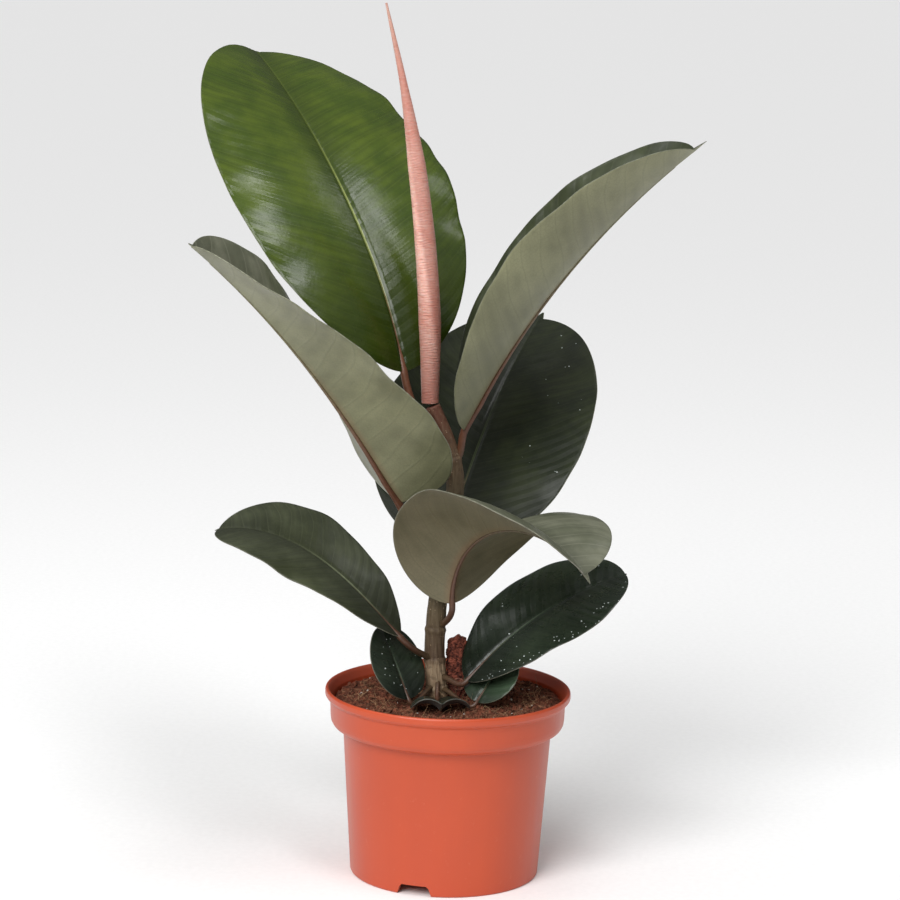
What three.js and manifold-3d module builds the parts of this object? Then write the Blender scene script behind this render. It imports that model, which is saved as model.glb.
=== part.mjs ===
// Potted rubber plant, in millimetres, +Z up. The origin is the middle of the pot's underside and the
// plant is seen from -Y. Every leaf is one grown piece: its stalk, midrib and blade are joined.
import * as THREE from "three";
import { mergeVertices } from "three/addons/utils/BufferGeometryUtils.js";
import Module from "manifold-3d";

const wasm = await Module();
wasm.setup();

// Clearance between two pieces that touch in the real plant.
const GAP = 0.3;

// Pot: a 12 cm nursery pot moulded in plastic.
const RIM_RADIUS = 60;
const POT_HEIGHT = 92;
const POT_WALL = 1.2;
const COLLAR_RADIUS = 57.2;
const SHOULDER_Z = 72.5;
const BODY_TOP_RADIUS = 50.9;
const BASE_RADIUS = 46.2;
const FLOOR_UNDERSIDE = 5.7;
const SUPPORT_RADIUS = 9;
const FOOT_WIDTH = 2.6;
const POT_FACETS = 48;
const NOTCH_COUNT = 3;
const NOTCH_FIRST_DEG = -108;
const NOTCH_WIDTH_LOW = 18;
const NOTCH_WIDTH_HIGH = 14;
const NOTCH_HEIGHT = 5.2;
const NOTCH_DEPTH = 14;
const DRAIN_COUNT = 6;
const DRAIN_RADIUS = 4;
const DRAIN_CIRCLE = 31;

// Root ball: the growing medium that fills the pot.
const SOIL_EDGE_Z = 86;
const SOIL_CENTRE_Z = 86.2;
const SOIL_BUMP = 0.6;
const SOIL_FLAT_RADIUS = 50;
const SOIL_FACETS = 36;

// Stem: centre line and radius from the root ball up to the growing tip.
const STEM_LINE = [
  [-5, 1, 40], [-5, 0, 85], [-7, 0, 110], [-6, 0, 135], [-2, 0, 165], [1, 0, 195], [-4, 0, 215],
  [-11, 0, 231],
];
const STEM_RADIUS_LOW = 5.2;
const STEM_RADIUS_HIGH = 3.9;
const STEM_RING_HEIGHTS = [92, 106, 121, 150, 176, 205];
const STEM_RING_RISE = 0.45;
const STEM_RING_WIDTH = 1.6;

// Sheath round the next leaf. It leans over more and more towards its tip.
const SHEATH_FOOT = [-12, 0, 233];
const SHEATH_HEIGHT = 190;
const SHEATH_LEAN = 25;
const SHEATH_RADII = [4, 5.3, 5, 4.2, 1.8, 0.5];

// Cut-back stump beside the stem.
const STUB_LINE = [[5, 5, 66], [5, 4.5, 90], [4, 5, 115]];
const STUB_RADII = [3.4, 4.3, 5.1, 4.2];

// Leaf blades are thickest at the midrib. The stalk tapers into the midrib and dies out near the tip.
const BLADE_HALF_THICKNESS = 0.6;
const MARGIN_SHARE = 0.55;
const BLADE_STEPS_ALONG = 12;
const BLADE_STEPS_HALF = 3;
const END_HALF_WIDTH = 0.9;
const RIB_END = 0.82;
const RIB_END_RADIUS = 0.75;
const RIB_SINK = 0.55;

// Leaf table. node is where the stalk leaves the stem, base is where the blade begins. heading is the
// compass turn from +X towards +Y and rise the slope there. sweep and droop are how far heading and
// rise change by the tip, droopPower is how late the droop comes. roll and twist turn the blade about
// its midrib, fold and curl lift its two halves, all in degrees. widest is the place of the widest
// point, and blunt the fullness of the two ends.
const LEAVES = {
  leaf_1: {
    node: [-4, 0, 214], base: [-25, 5, 247], heading: 135, sweep: -25, rise: 75, droop: 60,
    droopPower: 0.8, roll: 20, twist: -30, length: 225, width: 120, widest: 0.5, blunt: 0.6,
    fold: 20, curl: -40, stalk: 2.2,
  },
  leaf_2: {
    node: [-4, 0, 152], base: [-26, -8, 185], heading: 220, sweep: -20, rise: 55, droop: 15,
    droopPower: 1.5, roll: -10, twist: 30, length: 170, width: 90, widest: 0.35, blunt: 0.5,
    fold: 30, curl: -10, stalk: 2.3,
  },
  leaf_3: {
    node: [-1, 0, 204], base: [5, 0, 220], heading: 5, sweep: -15, rise: 65, droop: 25,
    droopPower: 1, roll: 5, twist: -10, length: 175, width: 90, widest: 0.5, blunt: 0.5,
    fold: 20, curl: 40, stalk: 2.1,
  },
  leaf_4: {
    node: [-4, 0, 148], base: [-4, 18, 156], heading: 65, sweep: -5, rise: 55, droop: 20,
    droopPower: 1.3, roll: -10, twist: 5, length: 145, width: 110, widest: 0.5, blunt: 0.5,
    fold: 10, curl: -10, stalk: 2.2,
  },
  leaf_5: {
    node: [-5, 0, 123], base: [1, -12, 137], heading: -50, sweep: 15, rise: 100, droop: 145,
    droopPower: 0.8, roll: 25, twist: -20, length: 110, width: 95, widest: 0.55, blunt: 0.5,
    fold: 30, curl: -30, stalk: 1.8,
  },
  leaf_6: {
    node: [-7, 0, 106], base: [-24, -12, 120], heading: 165, sweep: -5, rise: 45, droop: 60,
    droopPower: 2, roll: 15, twist: 0, length: 110, width: 60, widest: 0.6, blunt: 0.5,
    fold: 10, curl: -10, stalk: 1.8,
  },
  leaf_7: {
    node: [-5, 0, 97], base: [9, -13, 99], heading: 15, sweep: 0, rise: 50, droop: 35,
    droopPower: 1, roll: -20, twist: 0, length: 95, width: 60, widest: 0.55, blunt: 0.5,
    fold: 10, curl: -15, stalk: 1.6,
  },
  leaf_8: {
    node: [-6, 0, 92], base: [-19, -20, 91], heading: 135, sweep: 10, rise: 60, droop: 0,
    droopPower: 1, roll: 0, twist: 0, length: 38, width: 35, widest: 0.5, blunt: 0.5,
    fold: 10, curl: -10, stalk: 1.3,
  },
  leaf_9: {
    node: [-5, 0, 91], base: [14, -19, 90], heading: 40, sweep: 0, rise: 50, droop: 0,
    droopPower: 1, roll: -10, twist: 0, length: 30, width: 30, widest: 0.5, blunt: 0.5,
    fold: 10, curl: -10, stalk: 1.3,
  },
  leaf_10: {
    node: [-5, 0, 96], base: [-5, -13, 88], heading: -85, sweep: 0, rise: 0, droop: -50,
    droopPower: 3, roll: 0, twist: 0, length: 28, width: 32, widest: 0.6, blunt: 0.3,
    fold: 50, curl: -95, stalk: 1.3,
  },
};

const rad = THREE.MathUtils.degToRad;

function solid(geometry) {
  const bare = geometry.clone();
  bare.deleteAttribute("normal");
  bare.deleteAttribute("uv");
  const merged = mergeVertices(bare, 1e-3);
  return new wasm.Manifold(
    new wasm.Mesh({
      numProp: 3,
      vertProperties: merged.attributes.position.array,
      triVerts: new Uint32Array(merged.index.array),
    }),
  );
}

function geometryOf(made) {
  const mesh = made.getMesh();
  const geometry = new THREE.BufferGeometry();
  geometry.setAttribute("position", new THREE.BufferAttribute(mesh.vertProperties, 3));
  geometry.setIndex(new THREE.BufferAttribute(mesh.triVerts, 1));
  geometry.computeVertexNormals();
  return geometry;
}

// Moves every vertex of a geometry by a function of its old place.
function reshaped(geometry, place) {
  const position = geometry.attributes.position;
  const at = new THREE.Vector3();
  for (let i = 0; i < position.count; i++) {
    at.fromBufferAttribute(position, i);
    const to = place(at);
    position.setXYZ(i, to.x, to.y, to.z);
  }
  return geometry;
}

// A round rod along a curve. radiusAt gives the radius for a share of the length and an angle.
function rod(curve, steps, facets, radiusAt) {
  const frames = curve.computeFrenetFrames(steps, false);
  const straight = new THREE.CylinderGeometry(1, 1, 1, facets, steps);
  return reshaped(straight, (p) => {
    const share = p.y + 0.5;
    const k = Math.round(share * steps);
    const radius = radiusAt(share, Math.atan2(p.z, p.x));
    const to = curve.getPointAt(share);
    to.addScaledVector(frames.normals[k], p.x * radius);
    to.addScaledVector(frames.binormals[k], -p.z * radius);
    return to;
  });
}

function curveThrough(points) {
  return new THREE.CatmullRomCurve3(points.map((p) => new THREE.Vector3(...p)));
}

// Straight-line reading of a list of values spread evenly over 0 to 1.
function readAlong(values, share) {
  const x = share * (values.length - 1);
  const i = Math.min(Math.floor(x), values.length - 2);
  return THREE.MathUtils.lerp(values[i], values[i + 1], x - i);
}

// ---- pot ----
function potBody() {
  const shell = [
    [0, 0],
    [SUPPORT_RADIUS, 0],
    [SUPPORT_RADIUS + 0.6, FLOOR_UNDERSIDE],
    [BASE_RADIUS - FOOT_WIDTH - 0.3, FLOOR_UNDERSIDE],
    [BASE_RADIUS - FOOT_WIDTH, 0],
    [BASE_RADIUS - 0.6, 0],
    [BASE_RADIUS, 0.7],
    [BODY_TOP_RADIUS, SHOULDER_Z - 0.6],
    [BODY_TOP_RADIUS + 0.7, SHOULDER_Z],
    [BODY_TOP_RADIUS + 3, SHOULDER_Z + 0.5],
    [BODY_TOP_RADIUS + 5, SHOULDER_Z + 1.8],
    [COLLAR_RADIUS - 0.3, SHOULDER_Z + 3.6],
    [COLLAR_RADIUS, SHOULDER_Z + 5.6],
    [COLLAR_RADIUS + 0.3, POT_HEIGHT - 5.6],
    [RIM_RADIUS - 0.9, POT_HEIGHT - 4.4],
    [RIM_RADIUS, POT_HEIGHT - 3.2],
    [RIM_RADIUS, POT_HEIGHT - 0.9],
    [RIM_RADIUS - 0.5, POT_HEIGHT],
    [RIM_RADIUS - 1.5, POT_HEIGHT],
    [RIM_RADIUS - 2.4, POT_HEIGHT - 1.2],
    [COLLAR_RADIUS - POT_WALL + 0.2, POT_HEIGHT - 4.6],
    [COLLAR_RADIUS - POT_WALL, SHOULDER_Z + 6.4],
    [BODY_TOP_RADIUS + 3.6, SHOULDER_Z + 3],
    [BODY_TOP_RADIUS + 1.4, SHOULDER_Z + 1.8],
    [BODY_TOP_RADIUS - POT_WALL, SHOULDER_Z + 1.2],
    [BODY_TOP_RADIUS - POT_WALL - 0.1, SHOULDER_Z - 0.6],
    [BASE_RADIUS - POT_WALL + 0.4, FLOOR_UNDERSIDE + POT_WALL + 1.2],
    [BASE_RADIUS - POT_WALL - 1, FLOOR_UNDERSIDE + POT_WALL],
    [0, FLOOR_UNDERSIDE + POT_WALL],
  ].map(([r, z]) => new THREE.Vector2(r, z));
  const turned = new THREE.LatheGeometry(shell, POT_FACETS).rotateX(Math.PI / 2);
  let body = solid(turned);
  for (let i = 0; i < NOTCH_COUNT; i++) {
    const turn = rad(NOTCH_FIRST_DEG + (360 / NOTCH_COUNT) * i);
    const outline = new THREE.Shape();
    outline.moveTo(-NOTCH_WIDTH_LOW / 2 - 0.4, -1);
    outline.lineTo(NOTCH_WIDTH_LOW / 2 + 0.4, -1);
    outline.lineTo(NOTCH_WIDTH_HIGH / 2, NOTCH_HEIGHT);
    outline.lineTo(-NOTCH_WIDTH_HIGH / 2, NOTCH_HEIGHT);
    outline.closePath();
    const cutter = new THREE.ExtrudeGeometry(outline, { depth: NOTCH_DEPTH, bevelEnabled: false });
    cutter.rotateX(Math.PI / 2);
    cutter.rotateZ(Math.PI / 2 + turn);
    const inner = BASE_RADIUS - NOTCH_DEPTH / 2;
    cutter.translate(inner * Math.cos(turn), inner * Math.sin(turn), 0);
    body = body.subtract(solid(cutter));
  }
  for (let i = 0; i < DRAIN_COUNT; i++) {
    const turn = (2 * Math.PI * i) / DRAIN_COUNT;
    const drill = new THREE.CylinderGeometry(DRAIN_RADIUS, DRAIN_RADIUS, 8, 16).rotateX(Math.PI / 2);
    drill.translate(DRAIN_CIRCLE * Math.cos(turn), DRAIN_CIRCLE * Math.sin(turn), FLOOR_UNDERSIDE);
    body = body.subtract(solid(drill));
  }
  return body;
}

// ---- stem, sheath and stump ----
function stemRod(extra) {
  const curve = curveThrough(STEM_LINE);
  return solid(
    rod(curve, 48, 12, (share) => {
      const height = curve.getPointAt(share).z;
      let radius = THREE.MathUtils.lerp(STEM_RADIUS_LOW, STEM_RADIUS_HIGH, share);
      for (const ring of STEM_RING_HEIGHTS) {
        radius += STEM_RING_RISE * Math.exp(-(((height - ring) / STEM_RING_WIDTH) ** 2));
      }
      return radius + extra;
    }),
  );
}

function sheathRod() {
  const [x, y, z] = SHEATH_FOOT;
  const line = SHEATH_RADII.map((_, i) => {
    const share = i / (SHEATH_RADII.length - 1);
    return [x - SHEATH_LEAN * share ** 2, y, z + SHEATH_HEIGHT * share];
  });
  return solid(rod(curveThrough(line), 28, 12, (share) => readAlong(SHEATH_RADII, share)));
}

function stubRod(extra) {
  const knobbly = (share, angle) =>
    readAlong(STUB_RADII, share) + 0.3 * Math.sin(3 * angle + 9 * share) + extra;
  return solid(rod(curveThrough(STUB_LINE), 10, 12, knobbly));
}

// ---- root ball ----
function rootBall(holes) {
  const bodyWall = POT_WALL + GAP;
  const profile = [
    [0, FLOOR_UNDERSIDE + POT_WALL + GAP],
    [BASE_RADIUS - bodyWall - 1.6, FLOOR_UNDERSIDE + POT_WALL + GAP],
    [BASE_RADIUS - bodyWall, FLOOR_UNDERSIDE + POT_WALL + 2.4],
    [BODY_TOP_RADIUS - bodyWall - 0.4, SHOULDER_Z - 0.6],
    [BODY_TOP_RADIUS - bodyWall - 0.3, SHOULDER_Z + 1.9],
    [BODY_TOP_RADIUS + 1, SHOULDER_Z + 2.6],
    [BODY_TOP_RADIUS + 2.8, SHOULDER_Z + 3.7],
    [COLLAR_RADIUS - bodyWall - 0.3, SHOULDER_Z + 7],
    [COLLAR_RADIUS - bodyWall - 0.3, SOIL_EDGE_Z - 1],
    [COLLAR_RADIUS - bodyWall - 1.4, SOIL_EDGE_Z],
    [48, SOIL_EDGE_Z + 0.4],
    [39, SOIL_EDGE_Z + 0.5],
    [29, SOIL_EDGE_Z + 0.4],
    [17, SOIL_CENTRE_Z - 0.2],
    [0, SOIL_CENTRE_Z],
  ].map(([r, z]) => new THREE.Vector2(r, z));
  const turned = new THREE.LatheGeometry(profile, SOIL_FACETS).rotateX(Math.PI / 2);
  const crumbly = reshaped(turned, (p) => {
    const radius = Math.hypot(p.x, p.y);
    if (radius > SOIL_FLAT_RADIUS || radius < 1 || p.z < SOIL_EDGE_Z - 1) return p.clone();
    const bump = Math.sin(p.x * 0.47) * Math.cos(p.y * 0.41) + 0.6 * Math.sin(p.x * 0.19 - p.y * 0.83);
    return new THREE.Vector3(p.x, p.y, p.z + SOIL_BUMP * bump);
  });
  return holes.reduce((made, hole) => made.subtract(hole), solid(crumbly));
}

// ---- leaves ----
// The blade's own axes at a share of its length: along it, to its right and out of its upper face.
function bladeFrame(leaf, share) {
  const heading = rad(leaf.heading + leaf.sweep * share);
  const rise = rad(leaf.rise - leaf.droop * share ** leaf.droopPower);
  const along = new THREE.Vector3(
    Math.cos(rise) * Math.cos(heading),
    Math.cos(rise) * Math.sin(heading),
    Math.sin(rise),
  );
  const roll = rad(leaf.roll + leaf.twist * share);
  const right = new THREE.Vector3(Math.sin(heading), -Math.cos(heading), 0);
  const up = new THREE.Vector3().crossVectors(right, along);
  return {
    along,
    right: right.clone().multiplyScalar(Math.cos(roll)).addScaledVector(up, Math.sin(roll)),
    up: up.clone().multiplyScalar(Math.cos(roll)).addScaledVector(right, -Math.sin(roll)),
  };
}

function midribPoints(leaf, steps) {
  const points = [new THREE.Vector3(...leaf.base)];
  const step = leaf.length / steps;
  for (let i = 0; i < steps; i++) {
    const halfway = bladeFrame(leaf, (i + 0.5) / steps).along;
    points.push(points[i].clone().addScaledVector(halfway, step));
  }
  return points;
}

// Share of the full half width at a share of the length: 1 at the widest point, 0 at both ends.
function outline(leaf, share) {
  const start = (leaf.blunt * leaf.widest) / (1 - leaf.widest);
  const peak = leaf.widest ** start * (1 - leaf.widest) ** leaf.blunt;
  return (share ** start * (1 - share) ** leaf.blunt) / peak;
}

// How far out and up a point of one half lies: the half is an arc that starts at the fold angle.
function acrossHalf(halfWidth, share, fold, curl) {
  const bend = rad(curl) * 0.5 + 1e-6;
  const from = rad(fold);
  return {
    out: (halfWidth * (Math.sin(from + bend * share) - Math.sin(from))) / bend,
    up: (halfWidth * (Math.cos(from) - Math.cos(from + bend * share))) / bend,
  };
}

function bladeGeometry(leaf) {
  const steps = BLADE_STEPS_ALONG;
  const middle = midribPoints(leaf, steps);
  const block = new THREE.BoxGeometry(2, 1, 2, 2 * BLADE_STEPS_HALF, steps, 1);
  return reshaped(block, (p) => {
    const k = Math.round((p.y + 0.5) * steps);
    const share = k / steps;
    const frame = bladeFrame(leaf, share);
    const fullness = outline(leaf, share);
    const halfWidth = Math.max((leaf.width / 2) * fullness, END_HALF_WIDTH);
    const side = Math.abs(p.x);
    const place = acrossHalf(halfWidth, side, leaf.fold, leaf.curl * fullness * 2);
    const thin = 1 - (1 - MARGIN_SHARE) * side;
    const to = middle[k].clone();
    to.addScaledVector(frame.right, Math.sign(p.x) * place.out);
    to.addScaledVector(frame.up, place.up + p.z * BLADE_HALF_THICKNESS * thin);
    return to;
  });
}

// The stalk runs from inside the stem to the blade and on along the underside as the midrib.
function stalkGeometry(leaf) {
  const node = new THREE.Vector3(...leaf.node);
  const base = new THREE.Vector3(...leaf.base);
  const arrival = bladeFrame(leaf, 0).along;
  const reach = node.distanceTo(base);
  const outwards = new THREE.Vector3(base.x - node.x, base.y - node.y, 0).normalize();
  outwards.z = 0.5;
  const stalk = new THREE.CubicBezierCurve3(
    node,
    node.clone().addScaledVector(outwards, reach * 0.35),
    base.clone().addScaledVector(arrival, -reach * 0.35),
    base,
  );
  const points = stalk.getPoints(6);
  const steps = 10;
  const middle = midribPoints(leaf, steps);
  for (let i = 1; i <= Math.round(steps * RIB_END); i++) {
    const under = bladeFrame(leaf, i / steps).up;
    points.push(middle[i].clone().addScaledVector(under, -RIB_SINK));
  }
  const curve = new THREE.CatmullRomCurve3(points);
  const blend = reach / curve.getLength();
  return rod(curve, 18, 6, (share) => {
    const along = Math.max(0, (share - blend) / (1 - blend));
    return THREE.MathUtils.lerp(leaf.stalk, RIB_END_RADIUS, Math.sqrt(along));
  });
}

function leafSolid(leaf, stemRoom) {
  return solid(bladeGeometry(leaf)).add(solid(stalkGeometry(leaf))).subtract(stemRoom);
}

// ---- the assembly ----
const plant = new THREE.Group();
const plain = (color, roughness) =>
  new THREE.MeshStandardMaterial({ color, roughness, metalness: 0, side: THREE.FrontSide });

function place(name, made, material) {
  const mesh = new THREE.Mesh(geometryOf(made), material);
  mesh.name = name;
  plant.add(mesh);
}

const stemRoom = stemRod(GAP);
place("pot", potBody(), plain(0xb9553a, 0.4));
place("soil", rootBall([stemRoom, stubRod(GAP)]), plain(0x4a2c1e, 0.95));
place("stem", stemRod(0), plain(0x6e5a42, 0.75));
place("apical_sheath", sheathRod(), plain(0xd6a294, 0.5));
place("cutting_stub", stubRod(0), plain(0x53302a, 0.85));
for (const [name, leaf] of Object.entries(LEAVES)) {
  place(name, leafSolid(leaf, stemRoom), plain(0x2f3a22, 0.35));
}

export default plant;
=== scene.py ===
import math

import bmesh
import bpy
import numpy as np
from mathutils import Matrix, Vector


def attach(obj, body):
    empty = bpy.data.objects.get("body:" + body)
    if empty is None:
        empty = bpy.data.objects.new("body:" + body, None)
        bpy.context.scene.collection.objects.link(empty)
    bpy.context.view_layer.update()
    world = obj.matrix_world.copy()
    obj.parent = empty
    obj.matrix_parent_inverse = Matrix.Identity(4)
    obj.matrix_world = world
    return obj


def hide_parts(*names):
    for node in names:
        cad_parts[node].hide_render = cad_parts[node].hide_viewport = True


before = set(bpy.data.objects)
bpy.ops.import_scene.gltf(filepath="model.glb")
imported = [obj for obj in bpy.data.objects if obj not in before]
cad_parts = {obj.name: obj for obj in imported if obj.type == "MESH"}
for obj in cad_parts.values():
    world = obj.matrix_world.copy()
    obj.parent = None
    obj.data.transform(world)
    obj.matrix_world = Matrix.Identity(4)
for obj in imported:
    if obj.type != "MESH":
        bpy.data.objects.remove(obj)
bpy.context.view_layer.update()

# A young rubber plant in a nursery pot. Shapes are in millimetres until mesh_piece turns them into
# metres. Scattered grains, materials and the stage are in metres.

# ---------------------------------------------------------------------------------------------
# Nursery pot: injection-moulded terracotta-coloured plastic with a thin wall. The collar stands
# out on a rounded shoulder, the rim flares, and the foot ring is notched so that water drains.
MM = 0.001
RIM_RADIUS = 60.0
POT_HEIGHT = 92.0
POT_WALL = 1.2
COLLAR_RADIUS = 57.2
SHOULDER = 72.5
BODY_TOP_RADIUS = 50.9
BASE_RADIUS = 46.2
FLOOR_UNDERSIDE = 5.7
SUPPORT_RADIUS = 9.0
FOOT_WIDTH = 2.6
POT_FACETS = 192
NOTCH_TURNS = (-108, 12, 132)
NOTCH_LOW, NOTCH_HIGH, NOTCH_HEIGHT = 18.0, 14.0, 5.2
NOTCH_DEPTH = 14.0
DRAIN_COUNT, DRAIN_RADIUS, DRAIN_CIRCLE = 6, 4.0, 31.0
DRILL_LOW, DRILL_HIGH = 3, 10
POT_ORANGE = (0.500, 0.070, 0.022, 1)
POT_ORANGE_DEEP = (0.46, 0.064, 0.022, 1)
POT_DUST = (0.62, 0.22, 0.13, 1)


def placed(name, data):
    """A new object for a mesh, lamp or camera, linked to the scene at the origin."""
    holder = bpy.data.objects.new(name, data)
    bpy.context.scene.collection.objects.link(holder)
    return holder


def mesh_piece(name, points, faces, smooth=True):
    """A mesh object at the origin from points in millimetres."""
    mesh = bpy.data.meshes.new(name)
    mesh.from_pydata([tuple(p) for p in np.asarray(points) * MM], [], [tuple(f) for f in faces])
    mesh.update()
    for polygon in mesh.polygons:
        polygon.use_smooth = smooth
    return placed(name, mesh)


def facing_out(piece):
    """Turns every face of a closed mesh outwards."""
    shape = bmesh.new()
    shape.from_mesh(piece.data)
    bmesh.ops.recalc_face_normals(shape, faces=shape.faces)
    shape.to_mesh(piece.data)
    shape.free()


def carries(piece, nodes):
    """The calls that tie a piece to the frame."""
    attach(piece, "root")
    if nodes:
        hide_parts(*nodes)


class Finish:
    """A procedural material under construction: add() makes a node, join() links sockets."""

    def __init__(self, name):
        self.material = bpy.data.materials.new(name)
        self.material.use_nodes = True
        self.tree = self.material.node_tree
        self.shader = self.tree.nodes["Principled BSDF"]

    def add(self, kind, values=None, **settings):
        made = self.tree.nodes.new("ShaderNode" + kind)
        for key, value in settings.items():
            setattr(made, key, value)
        for key, value in (values or {}).items():
            made.inputs[key].default_value = value
        return made

    def join(self, source, target):
        self.tree.links.new(source, target)

    def object_space(self, scale=(1, 1, 1)):
        place = self.add("TexCoord")
        mapping = self.add("Mapping", {"Scale": scale})
        self.join(place.outputs["Object"], mapping.inputs["Vector"])
        return mapping.outputs["Vector"]

    def noise(self, vector, scale, detail=4.0, roughness=0.55):
        made = self.add("TexNoise", {"Scale": scale, "Detail": detail, "Roughness": roughness})
        self.join(vector, made.inputs["Vector"])
        return made.outputs["Fac"]

    def axes(self, vector):
        made = self.add("SeparateXYZ")
        self.join(vector, made.inputs[0])
        return made.outputs

    def reading(self, name):
        return self.add("Attribute", attribute_name=name).outputs["Fac"]

    def math(self, operation, a, b=0.0, c=0.0):
        made = self.add("Math", operation=operation)
        for socket, value in zip(made.inputs, (a, b, c)):
            if isinstance(value, (int, float)):
                socket.default_value = value
            else:
                self.join(value, socket)
        return made.outputs[0]

    def spread(self, value, low, high, to_low=0.0, to_high=1.0, ease="SMOOTHSTEP"):
        made = self.add("MapRange", interpolation_type=ease)
        for key, number in zip(("From Min", "From Max", "To Min", "To Max"), (low, high, to_low, to_high)):
            made.inputs[key].default_value = number
        self.join(value, made.inputs["Value"])
        return made.outputs["Result"]

    def blend(self, factor, a, b):
        made = self.add("Mix", data_type="RGBA")
        for socket, value in ((made.inputs[0], factor), (made.inputs[6], a), (made.inputs[7], b)):
            if isinstance(value, (int, float, tuple)):
                socket.default_value = value
            else:
                self.join(value, socket)
        return made.outputs[2]

    def bump(self, height, strength, distance, under=None):
        made = self.add("Bump", {"Strength": strength, "Distance": distance})
        self.join(height, made.inputs["Height"])
        if under is not None:
            self.join(under, made.inputs["Normal"])
        return made.outputs["Normal"]

    def colour(self, source):
        self.join(source, self.shader.inputs["Base Color"])

    def relief(self, source):
        self.join(source, self.shader.inputs["Normal"])

    def roughness(self, source):
        self.join(source, self.shader.inputs["Roughness"])

    def set(self, **numbers):
        for key, value in numbers.items():
            self.shader.inputs[key.replace("_", " ")].default_value = value

    def wear(self, piece):
        piece.data.materials.append(self.material)


def turned(name, profile, facets):
    """A closed solid of revolution from a profile that starts and ends on the axis."""
    points, faces, rings = [], [], []
    for r, z in profile:
        if r < 1e-6:
            rings.append([len(points)] * facets)
            points.append((0, 0, z))
            continue
        start = len(points)
        for i in range(facets):
            angle = 2 * math.pi * i / facets
            points.append((r * math.cos(angle), r * math.sin(angle), z))
        rings.append([start + i for i in range(facets)])
    for a, b in zip(rings[:-1], rings[1:]):
        for i in range(facets):
            j = (i + 1) % facets
            corners = []
            for corner in (a[i], a[j], b[j], b[i]):
                if corner not in corners:
                    corners.append(corner)
            if len(corners) > 2:
                faces.append(corners)
    return mesh_piece(name, points, faces)


def rounded(profile, radius=0.5, steps=4):
    """The profile with each corner off the axis replaced by a small arc."""
    result = [profile[0]]
    for before, corner, after in zip(profile[:-2], profile[1:-1], profile[2:]):
        corner, before, after = np.array(corner), np.array(before), np.array(after)
        reach_in = min(radius, 0.45 * np.linalg.norm(before - corner))
        reach_out = min(radius, 0.45 * np.linalg.norm(after - corner))
        start = corner + (before - corner) / np.linalg.norm(before - corner) * reach_in
        end = corner + (after - corner) / np.linalg.norm(after - corner) * reach_out
        for k in range(steps + 1):
            t = k / steps
            result.append(tuple((1 - t) ** 2 * start + 2 * t * (1 - t) * corner + t * t * end))
    result.append(profile[-1])
    return result


def make_plain(piece):
    """Turns the result of the piece's modifiers into its own plain mesh."""
    seen = piece.evaluated_get(bpy.context.evaluated_depsgraph_get())
    mesh = bpy.data.meshes.new_from_object(seen)
    piece.modifiers.clear()
    piece.data = mesh


POT_PROFILE = [
    (0, 0), (SUPPORT_RADIUS, 0), (SUPPORT_RADIUS + 0.6, FLOOR_UNDERSIDE),
    (BASE_RADIUS - FOOT_WIDTH - 0.3, FLOOR_UNDERSIDE), (BASE_RADIUS - FOOT_WIDTH, 0),
    (BASE_RADIUS - 0.6, 0), (BASE_RADIUS, 0.7), (BODY_TOP_RADIUS, SHOULDER - 0.6),
    (BODY_TOP_RADIUS + 0.7, SHOULDER), (BODY_TOP_RADIUS + 3, SHOULDER + 0.5),
    (BODY_TOP_RADIUS + 5, SHOULDER + 1.8), (COLLAR_RADIUS - 0.3, SHOULDER + 3.6),
    (COLLAR_RADIUS, SHOULDER + 5.6), (COLLAR_RADIUS + 0.3, POT_HEIGHT - 5.6),
    (RIM_RADIUS - 0.9, POT_HEIGHT - 4.4), (RIM_RADIUS, POT_HEIGHT - 3.2),
    (RIM_RADIUS, POT_HEIGHT - 0.9), (RIM_RADIUS - 0.5, POT_HEIGHT), (RIM_RADIUS - 1.5, POT_HEIGHT),
    (RIM_RADIUS - 2.4, POT_HEIGHT - 1.2), (COLLAR_RADIUS - POT_WALL + 0.2, POT_HEIGHT - 4.6),
    (COLLAR_RADIUS - POT_WALL, SHOULDER + 6.4), (BODY_TOP_RADIUS + 3.6, SHOULDER + 3),
    (BODY_TOP_RADIUS + 1.4, SHOULDER + 1.8), (BODY_TOP_RADIUS - POT_WALL, SHOULDER + 1.2),
    (BODY_TOP_RADIUS - POT_WALL - 0.1, SHOULDER - 0.6),
    (BASE_RADIUS - POT_WALL + 0.4, FLOOR_UNDERSIDE + POT_WALL + 1.2),
    (BASE_RADIUS - POT_WALL - 1, FLOOR_UNDERSIDE + POT_WALL), (0, FLOOR_UNDERSIDE + POT_WALL),
]
pot = turned("pot_shell", rounded(POT_PROFILE), POT_FACETS)


def cut_out(piece, cutter):
    """Adds a boolean that takes the cutter's shape out of the piece."""
    knife = piece.modifiers.new("cut", "BOOLEAN")
    knife.object = cutter
    knife.operation = "DIFFERENCE"
    knife.solver = "EXACT"


cutters = []
for turn in NOTCH_TURNS:
    outline = [(-NOTCH_LOW / 2, -1), (NOTCH_LOW / 2, -1), (NOTCH_HIGH / 2 + 0.4, NOTCH_HEIGHT - 1.2),
               (NOTCH_HIGH / 2 - 0.8, NOTCH_HEIGHT), (-NOTCH_HIGH / 2 + 0.8, NOTCH_HEIGHT),
               (-NOTCH_HIGH / 2 - 0.4, NOTCH_HEIGHT - 1.2)]
    corners = len(outline)
    ends = (BASE_RADIUS - NOTCH_DEPTH / 2, BASE_RADIUS + NOTCH_DEPTH / 2)
    points = [(reach, x, z) for reach in ends for x, z in outline]
    faces = [list(range(corners))[::-1], list(range(corners, 2 * corners))]
    faces += [(i, (i + 1) % corners, corners + (i + 1) % corners, corners + i) for i in range(corners)]
    block = mesh_piece("notch_cutter", points, faces, smooth=False)
    block.data.transform(Matrix.Rotation(math.radians(turn), 4, "Z"))
    cutters.append(block)
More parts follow.
